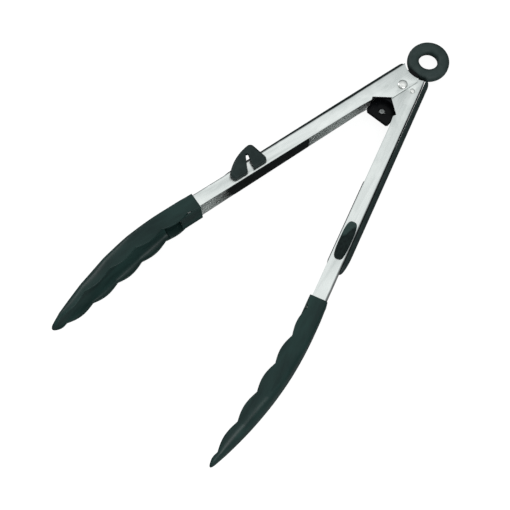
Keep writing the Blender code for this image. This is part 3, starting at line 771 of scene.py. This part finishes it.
# %% [markdown]
# ## Back strips
# A crowned rubber strip runs along each back, from the ears to just before the head, and ends in a flat
# rounded tongue. It is the same kind of rule as the head, so the same tube tree makes it. Stations crowd
# together at both ends, where the outline turns fast, and the crown sinks to nothing there. The strip of the
# upper arm is the lower of the two.

# %% Rule of the back strips
STRIP_RISE = {"lower": 3.1 * MM, "upper": 2.0 * MM}
CROWN_SHARE = 0.7         # share of the way round that is crown, and not the flat underside


def strip_rule(along, around, size):
    eased_share = 0.5 - (along * pi).cos() * 0.5
    station = size["Rear"] + eased_share * (size["Front"] - size["Rear"])

    def rounding(distance, reach):
        left = 1.0 - (distance / reach).clamp()
        return (1.0 - left * left).root()

    from_rear, to_front = station - size["Rear"], size["Front"] - station
    wide = rounding(from_rear, 3 * MM) * rounding(to_front, 6.5 * MM)
    tall = rounding(from_rear, 5 * MM) * rounding(to_front, 15 * MM)
    taper = ((station - size["Rear"]) / size["Taper"]).clamp().choose(size["Half rear"], size["Half"])
    half = taper * wide
    angle = (around / CROWN_SHARE).clamp() * pi - pi / 2
    z, rise = squared(angle, half, size["Rise"] * tall, 2.3)
    under = ((around - CROWN_SHARE) / (1.0 - CROWN_SHARE)).clamp()
    flat = around.above(CROWN_SHARE)
    v = size["Base"] + rise * (1.0 - flat)
    return station, v * size["Side"], flat.choose(z, half * (1.0 - 2.0 * under))


# %% Grow the back strips
STRIP_SIZES = ["Rear", "Front", "Base", "Rise", "Half rear", "Half", "Taper", "Side"]
strip_tree = tube_tree("crowned_strip", STRIP_SIZES, 160, 48, strip_rule)
for arm, (side, matrix) in ARMS.items():
    low, high = span(f"{arm}_back_grip", matrix)
    sizes = {"Rear": low.x, "Front": high.x, "Base": SHEET_BACK + FIT, "Rise": STRIP_RISE[arm],
             "Half": high.z, "Half rear": high.z - 1.0 * MM, "Taper": 60 * MM, "Side": float(side)}
    strip = grow(f"{arm}_back_strip", strip_tree, RUBBER[arm], sizes, matrix)
    hand_over(strip, f"{arm}_arm", "rubber", f"{arm}_back_grip")

# %% [markdown]
# ## Rubber cores
# Behind the pads each channel is filled with rubber, which stands proud of the folded edges so that the
# hand never meets bare sheet. These blocks are plain, so they are copies of their solids with soft edges.

# %% Cores
for arm in ARMS:
    core = eased(f"{arm}_core", f"{arm}_grip_core", SHADED_CORE_RUBBER[arm], 0.4 * MM)
    hand_over(core, f"{arm}_arm", "rubber", f"{arm}_grip_core")

# %% [markdown]
# ## Finger pads
# The oval pads are pressed through a window in the sheet and spread over it. Each is one closed skin, made
# of rings: it starts at the inner end of the plug, runs up through the window, spreads over the
# sheet, turns up its side and closes over the top. A shallow S shaped step divides the top into a raised
# lobe in front and a lower one behind, which is where the thumb finds its grip.


# %% Skin made of rings
def loft(rings):
    """Closed shape through rings of equal length, capped at both ends."""
    shape = bmesh.new()
    loops = [[shape.verts.new(point) for point in ring] for ring in rings]
    count = len(loops[0])
    for one, two in zip(loops, loops[1:]):
        for k in range(count):
            shape.faces.new((one[k], one[(k + 1) % count], two[(k + 1) % count], two[k]))
    shape.faces.new(loops[0])
    shape.faces.new(loops[-1])
    return shape


def soft_step(value):
    part = min(1.0, max(0.0, value))
    return part * part * (3 - 2 * part)


# %% Pad with an S shaped step
WINDOW_LONG, WINDOW_TALL = 12.7 * MM, 2.7 * MM
AROUND = 112
FULLNESS = 0.62           # 1 would give an ellipse, less gives fuller ends
ROUNDING = 0.55 * MM      # radius of the edge of a pad, seen from above
SKIRT = 0.28 * MM         # the pad's underside, over the sheet


def flange_at(u, slope):
    """Height of the outside of a flange above the middle line."""
    return slope[0] + slope[1] * u


def pad_top(x, y, rise):
    """Dome with a raised lobe in front of an S shaped step. x and y run from -1 to 1."""
    s_line = 1.3 * (x + 0.45) + 0.5 * y + 0.12 * sin(4 * y)
    lobe = soft_step(s_line / 0.22 + 0.5)
    groove = max(0.0, 1 - abs(s_line) / 0.12)
    edge = min(1.0, 2.6 * max(0.0, 1 - abs(x) ** 3 - abs(y) ** 3))
    rear = 0.35 - 0.5 * max(0.0, -s_line)
    return rise * 0.72 + (0.75 * lobe + rear * (1 - lobe) - 0.25 * groove) * MM * edge


def finger_pad(name, arm, face, slope, rise):
    side, matrix = ARMS[arm]

    def ring(long_half, tall_half, height):
        points = []
        for k in range(AROUND):
            angle = 2 * pi * k / AROUND
            wide = abs(cos(angle)) ** FULLNESS * (1 if cos(angle) > 0 else -1)
            tall = abs(sin(angle)) ** FULLNESS * (1 if sin(angle) > 0 else -1)
            u, v = PAD_AT + long_half * wide, PAD_V + tall_half * tall
            above = height
            if callable(height):
                above = height(wide * long_half / PAD_LONG, tall * tall_half / PAD_TALL)
            points.append((u, side * v, face * (flange_at(u, slope) + above)))
        return points

    # the plug in the window, then the skirt over the sheet and the side
    rings = [ring(WINDOW_LONG * 0.4, WINDOW_TALL * 0.2, -SHEET), ring(WINDOW_LONG, WINDOW_TALL, -SHEET),
             ring(WINDOW_LONG, WINDOW_TALL, SKIRT), ring(PAD_LONG - 0.2 * MM, PAD_TALL - 0.2 * MM, SKIRT),
             ring(PAD_LONG, PAD_TALL, 0.45 * MM), ring(PAD_LONG, PAD_TALL, rise * 0.52)]
    for k in range(1, 5):
        turn = pi / 2 * k / 5
        inset = ROUNDING * (1 - cos(turn))
        rings.append(ring(PAD_LONG - inset, PAD_TALL - inset, rise * 0.52 + rise * 0.2 * sin(turn)))
    # the top, in rings that shrink to its middle
    for k in range(30):
        share = 1 - k / 30
        inset = ROUNDING + 0.05 * MM
        rings.append(ring((PAD_LONG - inset) * share, (PAD_TALL - inset) * share,
                          lambda x, y: pad_top(x, y, rise)))
    return settled(name, mesh_from(name, loft(rings)), PAD_RUBBER[arm], matrix)


def flange_slope(arm):
    """Where the flange's line starts, and how much it rises along the arm."""
    side, matrix = ARMS[arm]
    back = matrix.inverted()
    points = [back @ vert.co for vert in frame["nodes"][f"{arm}_arm_channel"].data.vertices]
    high = {}
    for key, low_u, high_u in (("rear", 30 * MM, 36 * MM), ("front", 164 * MM, 170 * MM)):
        near = [point for point in points if low_u < point.x < high_u]
        best = max(near, key=lambda point: point.z)
        high[key] = (best.x, best.z)
    tilt = (high["front"][1] - high["rear"][1]) / (high["front"][0] - high["rear"][0])
    return high["rear"][1] - tilt * high["rear"][0], tilt


SLOPES = {arm: flange_slope(arm) for arm in ARMS}
for arm, slope in SLOPES.items():
    print(arm, "flange at the pads:", round(flange_at(PAD_AT, slope) / MM, 2), "mm from the middle")
PADS = {"lower_pad_near": ("lower", 1), "lower_pad_far": ("lower", -1), "upper_pad_far": ("upper", -1)}
for node, (arm, face) in PADS.items():
    pad = finger_pad(node.replace("pad", "finger_pad"), arm, face, SLOPES[arm], 1.25 * MM)
    hand_over(pad, f"{arm}_arm", "rubber", node)

# %% [markdown]
# ## Thumb rest
# On one side of the upper arm a fin stands out past the back of the channel, so that the thumb can push the
# tongs open and shut. It is one moulding with a narrow slit that is open at the foot, and every edge is
# soft. A stack of outlines, each set in a little from the one below, gives the rounded shoulder. The slit is
# cut, two round pegs are joined, and a fine voxel remesh followed by smoothing melts it all into one skin.


# %% Outlines
def arc(center, radius, start, end, steps):
    return [(center[0] + radius * cos(start + (end - start) * k / steps),
             center[1] + radius * sin(start + (end - start) * k / steps)) for k in range(steps + 1)]


def set_in(outline, inset):
    """Move a smooth outline inwards by its own normals."""
    count = len(outline)
    moved = []
    for k, (x, y) in enumerate(outline):
        before, after = outline[k - 1], outline[(k + 1) % count]
        run = Vector((after[0] - before[0], after[1] - before[1])).normalized()
        moved.append((x + inset * run.y, y - inset * run.x))
    return moved


fin_low, fin_high = span("thumb_rest", ARMS["upper"][1])
FIN_FOOT, FIN_TOP = -fin_high.y, -fin_low.y
FIN_REAR, FIN_FRONT = fin_low.x, fin_high.x
FIN_BASE = flange_at(PAD_AT, SLOPES["upper"]) + FIT
FIN_DEEP = 4.2 * MM
REAR_ROUND, TOP_ROUND, FRONT_ROUND = 2.6 * MM, 3.4 * MM, 3.4 * MM


def fin_skin():
    """Outline of the fin: rear foot, top, a brow that bends down to the heel, and the front foot."""
    points = arc((FIN_REAR + REAR_ROUND, FIN_FOOT + REAR_ROUND), REAR_ROUND, 1.5 * pi, 0.97 * pi, 8)
    points += arc((FIN_REAR + 5.6 * MM, FIN_TOP - TOP_ROUND), TOP_ROUND, 0.95 * pi, 0.45 * pi, 10)
    start, brow, heel = points[-1], (PAD_AT + 7 * MM, FIN_TOP - 1.9 * MM), (FIN_FRONT, FIN_FOOT + 5.2 * MM)
    for k in range(1, 17):
        t = k / 16
        points.append([start[n] * (1 - t) ** 2 + 2 * brow[n] * t * (1 - t) + heel[n] * t * t for n in (0, 1)])
    return points + arc((FIN_FRONT - FRONT_ROUND, FIN_FOOT + FRONT_ROUND), FRONT_ROUND, 0.0, -0.5 * pi, 10)


print("fin from", round(FIN_REAR / MM, 1), "to", round(FIN_FRONT / MM, 1), "mm along the arm")


# %% Solids for the fin
def stack(name, outlines, side, slope):
    """Closed solid from outlines at given heights over the flange."""
    rings = []
    for outline, height in outlines:
        base = height - flange_at(PAD_AT, slope)
        rings.append([(u, side * v, base + flange_at(u, slope)) for u, v in outline])
    shape = loft(rings)
    bmesh.ops.recalc_face_normals(shape, faces=shape.faces)
    return link_object(name, mesh_from(name, shape))


def dense(outline, step):
    """Add points to an outline, so that none are further apart than about one step."""
    points = []
    for k, (x, y) in enumerate(outline):
        x2, y2 = outline[(k + 1) % len(outline)]
        parts = max(1, int(hypot(x2 - x, y2 - y) / step))
        points += [(x + (x2 - x) * n / parts, y + (y2 - y) * n / parts) for n in range(parts)]
    return points


# %% Build the thumb rest
side, matrix = ARMS["upper"]
slope = SLOPES["upper"]
skin = dense(fin_skin(), 0.8 * MM)
LEVELS = [(0.25, 0.0), (0.0, 0.35), (0.0, 2.2), (0.35, 3.1), (0.95, 3.8), (1.8, FIN_DEEP / MM)]
rings = [(set_in(skin, inset * MM), FIN_BASE + height * MM) for inset, height in LEVELS]
fin = stack("upper_thumb_rest", rings, side, slope)
slit = [(PAD_AT - 0.4 * MM, FIN_FOOT - 1 * MM), (PAD_AT + 5.0 * MM, FIN_FOOT - 1 * MM),
        (PAD_AT - 1.7 * MM, FIN_TOP - 4.9 * MM), (PAD_AT - 3.2 * MM, FIN_TOP - 5.3 * MM)]
slit_levels = [(slit, FIN_BASE - 5 * MM), (slit, FIN_BASE + 9 * MM)]
combine(fin, stack("slit", slit_levels, side, slope), "DIFFERENCE")
for station in (PAD_AT - 8.5 * MM, PAD_AT + 9 * MM):
    peg = arc((station, PAD_V), WINDOW_TALL, 0.0, 2 * pi * 31 / 32, 32)
    peg_levels = [(peg, FIN_BASE - FIT - SHEET), (peg, FIN_BASE + 1 * MM)]
    combine(fin, stack("peg", peg_levels, side, slope), "UNION")
melt = fin.modifiers.new("melt", "REMESH")
melt.mode = "VOXEL"
melt.voxel_size = 0.27 * MM
calm = fin.modifiers.new("calm", "SMOOTH")
calm.factor = 0.5
calm.iterations = 9
apply_modifiers(fin)
thumb_mesh = fin.data
bpy.data.objects.remove(fin, do_unlink=True)
thumb = settled("upper_thumb_rest", thumb_mesh, RUBBER["upper"], matrix)
thumb.data.set_sharp_from_angle(angle=pi)
hand_over(thumb, "upper_arm", "rubber", "thumb_rest")

# %% [markdown]
# ## Pivot
# The rivet is a turned pin whose ends are headed over into low domes. A small stud next to it is the end of
# the pin that holds the spring. Both are drawn as half a profile, and the profile is spun into rings. The
# spacer bush round the rivet keeps the sides of the arms apart.


# %% Turned pieces
TINY = 0.05 * MM      # radius of the smallest ring, in the middle of an end


def turned(name, profile, at, material, steps=72):
    rings = [[(at[0] + radius * cos(2 * pi * k / steps), at[1] + radius * sin(2 * pi * k / steps), height)
              for k in range(steps)] for radius, height in profile]
    return settled(name, mesh_from(name, loft(rings)), material, TONGS)


def headed(radius, head, seat, dome):
    """Half profile of a pin whose two ends are headed over, from the top to the bottom."""
    edge = dome * 0.28
    top = [(TINY, seat + dome)]
    for k in range(1, 13):
        angle = pi / 2 * k / 12
        top.append((head * sin(angle) ** 0.92, seat + edge + (dome - edge) * cos(angle)))
    top += [(head, seat + 0.1 * MM), (head - 0.12 * MM, seat)]
    return top + [(radius, seat), (radius, -seat)] + [(r, -z) for r, z in reversed(top)]


def middle_of(node):
    low, high = span(node, TONGS)
    return (low + high) / 2, high - low


# %% Rivet, stud and bush
RIVET_R, RIVET_HEAD, RIVET_DOME = 2.5 * MM, 3.3 * MM, 1.5 * MM
STUD_R, STUD_HEAD, STUD_DOME = 1.1 * MM, 1.7 * MM, 0.7 * MM
center, size = middle_of("pivot_rivet")
profile = headed(RIVET_R, RIVET_HEAD, size.z / 2 - RIVET_DOME, RIVET_DOME)
rivet = turned("domed_rivet", profile, center, RIVET_STEEL)
hand_over(rivet, "pivot_group", "turned_steel", "pivot_rivet")
center, size = middle_of("spring_anchor")
profile = headed(STUD_R, STUD_HEAD, size.z / 2 - STUD_DOME, STUD_DOME)
stud = turned("spring_stud", profile, center, RIVET_STEEL, 48)
hand_over(stud, "lower_arm", "turned_steel", "spring_anchor")
bush = eased("spacer_bush", "pivot_spacer", SHADED_PIN_STEEL, 0.1 * MM)
hand_over(bush, "pivot_group", "turned_steel", "pivot_spacer")

# %% [markdown]
# ## Spring
# A torsion spring is a path with a round section: a straight leg, a coil, and a second leg. The path is a
# line of points whose place follows a rule, and Curve to Mesh gives it its thickness. Each leg leans on
# the inside of one arm. When the arms close, the lower leg turns with one arm and the upper leg with
# the other, and the coil winds up between them.


# %% Tree of the spring
LEG_SHARE = 0.22          # share of the wire's points that lie in one leg


def spring_rule(share, size):
    first = 1.0 - (share / LEG_SHARE).clamp()
    coil = ((share - LEG_SHARE) / (1.0 - 2 * LEG_SHARE)).clamp()
    last = ((share - 1.0 + LEG_SHARE) / LEG_SHARE).clamp()
    lean = size["Leg angle"]
    angle = lean + pi / 2 + coil * (size["Turns"] * (2 * pi) - 2.0 * lean)
    reach = size["Leg"] * (first + last)
    x = size["Coil radius"] * angle.cos() + reach * lean.cos()
    y = size["Coil radius"] * angle.sin() + size["Leg"] * (first - last) * lean.sin()
    return x, y, size["Low"] + coil * size["Rise"]


def wire_tree(name, sizes, points, rule):
    tree, source, values = open_tree(name, sizes)
    new, link = tree.nodes.new, tree.links.new
    line, count = new("GeometryNodeCurvePrimitiveLine"), new("GeometryNodeResampleCurve")
    count.inputs["Count"].default_value = points
    share = Field(tree, new("GeometryNodeSplineParameter").outputs["Factor"])
    section, tube = new("GeometryNodeCurvePrimitiveCircle"), new("GeometryNodeCurveToMesh")
    section.inputs["Resolution"].default_value = 16
    tube.inputs["Fill Caps"].default_value = True
    link(line.outputs[0], count.inputs["Curve"])
    link(values["Wire radius"].socket, section.inputs["Radius"])
    link(put(tree, count.outputs[0], rule(share, values)), tube.inputs["Curve"])
    link(section.outputs["Curve"], tube.inputs["Profile Curve"])
    close_tree(tree, source, tube.outputs[0])
    return tree


# %% Wind the spring
WIRE_R, COIL_R, TURNS, LEG = 0.5 * MM, 4.7 * MM, 3.5, 22.6 * MM
spring_low, spring_high = span("torsion_spring", TONGS)
lower_along = ARMS["lower"][1].col[0].xyz
half_angle = atan2(lower_along @ ACROSS, lower_along @ FORWARD)
gap = SHEET_BACK - SHEET - WIRE_R - 0.1 * MM
leg_lean = atan2(gap - COIL_R - WIRE_R / 2, 20 * MM)
low_z, high_z = spring_low.z + WIRE_R, spring_high.z - WIRE_R
sizes = {"Leg angle": half_angle + leg_lean, "Turns": TURNS, "Leg": LEG, "Coil radius": COIL_R,
         "Low": low_z, "Rise": high_z - low_z, "Wire radius": WIRE_R}
path = wire_tree("torsion_spring_path", sizes, 260, spring_rule)
spring = grow("wound_spring", path, WIRE_STEEL, sizes, TONGS)
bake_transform(spring)
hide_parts("torsion_spring")
print("legs lean", round(degrees(half_angle + leg_lean), 1), "degrees from the middle line")

# %% [markdown]
# ## Lock and ring
# A nylon slider runs between the ears. Its front is a deep deck with a steel pin, and its tail ends in the
# pull ring. The ring is soft rubber with flat faces. Both numbers of the tube rule now go round: one round
# the ring, and one round its section, so this tube has no caps.

# %% Slider and pin
slider = eased("lock_block", "lock_slider", SHADED_LOCK_NYLON, 0.3 * MM)
hand_over(slider, "lock_group", "nylon", "lock_slider")
center, size = middle_of("lock_pin")
PIN_R = 2.0 * MM
top, bottom = center.z + size.z / 2, center.z - size.z / 2
pin_profile = [(TINY, top - 0.25 * MM), (0.5 * MM, top - 0.22 * MM), (0.75 * MM, top), (1.5 * MM, top),
               (PIN_R - 0.15 * MM, top - 0.12 * MM), (PIN_R, top - 0.4 * MM), (PIN_R, bottom + 0.3 * MM),
               (PIN_R - 0.3 * MM, bottom), (TINY, bottom)]
pin = turned("deck_pin", pin_profile, center, SHADED_PIN_STEEL, 48)
hand_over(pin, "lock_group", "turned_steel", "lock_pin")


# %% Rule of the ring
RING_SQUARENESS = 2.5     # 2 would give a round section


def ring_rule(along, around, size):
    turn, bend = along * (2 * pi), around * (2 * pi)
    wide = (size["Outer"] - size["Hole"]) * 0.5
    power = 2.0 / RING_SQUARENESS
    radial = bend.cos().sign() * bend.cos().abs().power(power) * wide + (size["Outer"] + size["Hole"]) * 0.5
    height = bend.sin().sign() * bend.sin().abs().power(power) * size["Tall"] * 0.5
    return size["At"] + radial * turn.cos(), size["To side"] + radial * turn.sin(), height


# %% Cast the ring
RING_THICK, RING_TALL = 8.3 * MM, 8.8 * MM
center, size = middle_of("pull_ring")
sizes = {"Outer": size.y / 2, "Hole": size.y / 2 - RING_THICK, "Tall": RING_TALL, "At": center.x,
         "To side": center.y}
ring_tree = tube_tree("round_ring", list(sizes), 144, 56, ring_rule, caps=False)
ring = grow("soft_ring", ring_tree, RING_RUBBER, sizes, TONGS)
hand_over(ring, "lock_group", "rubber", "pull_ring")

# %% [markdown]
# ## Stage and light
# A pale floor and a plain room, as in a light tent. Steel shows mostly what surrounds it, so the room
# changes softly from overhead to the sides, and two large area lights shine on the outer sides of the
# arms. The floor is pale to the eye, but throws little light back, so that the undersides stay dark.

# %% Floor
FLOOR_REACH = 3.0
FLOOR_GLOW = 0.9
below = cad_box[0].z - 0.1 * MM
corners = [(-1, -1), (1, -1), (1, 1), (-1, 1)]
floor_mesh = bpy.data.meshes.new("floor")
floor_mesh.from_pydata([(x * FLOOR_REACH, y * FLOOR_REACH, below) for x, y in corners], [], [(0, 1, 2, 3)])
floor = link_object("floor", floor_mesh)
glow = bpy.data.materials.new("lit_table")
glow.use_nodes = True
table = glow.node_tree.nodes["Principled BSDF"]
table.inputs["Base Color"].default_value = (0.16, 0.16, 0.16, 1.0)
table.inputs["Roughness"].default_value = 0.8
table.inputs["Specular IOR Level"].default_value = 0.0
table.inputs["Emission Color"].default_value = (1.0, 1.0, 1.0, 1.0)
seen = Field(glow.node_tree, glow.node_tree.nodes.new("ShaderNodeLightPath").outputs["Is Camera Ray"])
glow.node_tree.links.new((seen * FLOOR_GLOW + 0.02).socket, table.inputs["Emission Strength"])
floor_mesh.materials.append(glow)


# %% Room
def room(zenith, peak, shoulder, side, ground):
    """World that is brightest a little off the zenith and calmer at the sides."""
    world = bpy.data.worlds.new("room")
    bpy.context.scene.world = world
    world.use_nodes = True
    tree = world.node_tree
    new, link = tree.nodes.new, tree.links.new
    coordinates, parts = new("ShaderNodeTexCoord"), new("ShaderNodeSeparateXYZ")
    ramp = new("ShaderNodeValToRGB")
    link(coordinates.outputs["Generated"], parts.inputs[0])
    height = Field(tree, parts.outputs["Z"]) * 0.5 + 0.5
    link(height.socket, ramp.inputs[0])
    stops = ramp.color_ramp.elements
    stops[0].position, stops[0].color = 0.45, (*ground, 1.0)
    stops[1].position, stops[1].color = 1.0, (*zenith, 1.0)
    bands = ((0.62, side), (0.80, shoulder), (0.93, zenith), (0.966, peak), (0.984, zenith))
    for position, color in bands:
        stops.new(position).color = (*color, 1.0)
    link(ramp.outputs[0], tree.nodes["Background"].inputs["Color"])


room(zenith=(0.86, 0.90, 0.89), peak=(1.25, 1.27, 1.26), shoulder=(0.55, 0.58, 0.58),
     side=(0.25, 0.28, 0.28), ground=(0.1, 0.11, 0.11))
bpy.context.scene.view_settings.view_transform = "Standard"


# %% Lights
def softbox(name, place, size, power):
    data = bpy.data.lights.new(name, "AREA")
    data.shape = "RECTANGLE"
    data.size, data.size_y = size
    data.energy = power
    lamp = bpy.data.objects.new(name, data)
    bpy.context.scene.collection.objects.link(lamp)
    lamp.location = place
    lamp.rotation_euler = (-Vector(place)).to_track_quat("-Z", "Y").to_euler()


LAMP = (0.7, 0.35)        # width and height of both lights, in metres
softbox("key", (0.45, 0.9, 0.35), LAMP, 6.5)
softbox("fill", (0.1, -0.9, 0.4), LAMP, 4.0)
